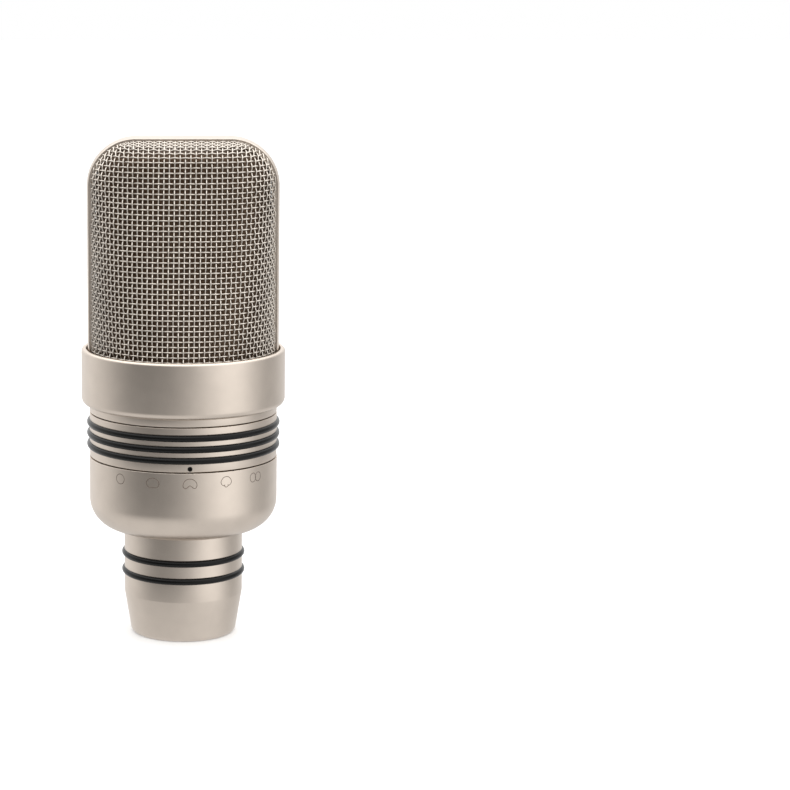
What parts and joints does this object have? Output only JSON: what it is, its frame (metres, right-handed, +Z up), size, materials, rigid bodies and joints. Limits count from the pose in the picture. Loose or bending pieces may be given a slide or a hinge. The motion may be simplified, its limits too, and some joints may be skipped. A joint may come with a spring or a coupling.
{
  "type": "side-address studio microphone",
  "caption": "Side-address studio condenser microphone: wedge-shaped woven grille over a wide collar, rubber-gripped pattern selector ring and a slim tail with a connector socket.",
  "frame": {"origin": "centre of the tail end face, which the microphone stands on", "axes": "+Z up along the microphone axis from tail to head, front of the head towards -Y, +X to the right seen from the front"},
  "size_m": [0.052, 0.052, 0.1276],
  "materials": {
    "satin_nickel": "satin, fine bead-blasted warm nickel",
    "grille_wire": "satin woven wire",
    "rubber": "matt",
    "black_plastic": "matt",
    "black_steel": "blackened",
    "steel": "bright",
    "brass": "turned",
    "gold": "gold plated",
    "aluminium": "turned",
    "circuit_board": "solder mask",
    "component": "dipped"
  },
  "bodies": {
    "microphone": {"amplifier_board": "circuit_board", "amplifier_board_screw_1": "steel", "amplifier_board_screw_2": "steel", "bearing_sleeve": "brass", "bias_resistor": "component", "capsule_backplate": "brass", "capsule_isolator": "rubber", "capsule_post": "aluminium", "chassis_frame": "aluminium", "connector_insert": "black_plastic", "connector_pin_1": "gold", "connector_pin_2": "gold", "connector_pin_3": "gold", "connector_retainer": "brass", "converter_coil": "component", "coupling_capacitor": "component", "detent_ball": "steel", "detent_spring": "steel", "filter_capacitor": "black_plastic", "front_clamp_ring": "brass", "front_contact_screw": "brass", "front_diaphragm": "gold", "front_gauze": "grille_wire", "front_grille": "grille_wire", "head_base_plate": "black_plastic", "head_collar": "satin_nickel", "head_frame": "satin_nickel", "input_transistor": "black_plastic", "lower_body": "satin_nickel", "neck_ring": "satin_nickel", "neck_screw_1": "steel", "neck_screw_2": "steel", "neck_screw_3": "steel", "output_capacitor": "black_plastic", "rear_clamp_ring": "brass", "rear_contact_screw": "brass", "rear_diaphragm": "gold", "rear_gauze": "grille_wire", "rear_grille": "grille_wire", "stem": "satin_nickel", "stem_ring_lower": "rubber", "stem_ring_upper": "rubber", "supply_board": "circuit_board", "supply_board_screw_1": "steel", "supply_board_screw_2": "steel", "switch_board": "circuit_board"},
    "selector": {"selector_ring": "satin_nickel", "grip_ring_lower": "rubber", "grip_ring_middle": "rubber", "grip_ring_upper": "rubber", "index_screw": "black_steel", "switch_rotor": "black_plastic", "wiper_contact": "brass"}
  },
  "joints": [
    {"name": "selector_turn", "type": "hinge", "parent": "microphone", "child": "selector", "pos_m": [0, 0, 0.0521], "axis": [0, 0, 1], "range_deg": [-45, 45]}
  ]
}
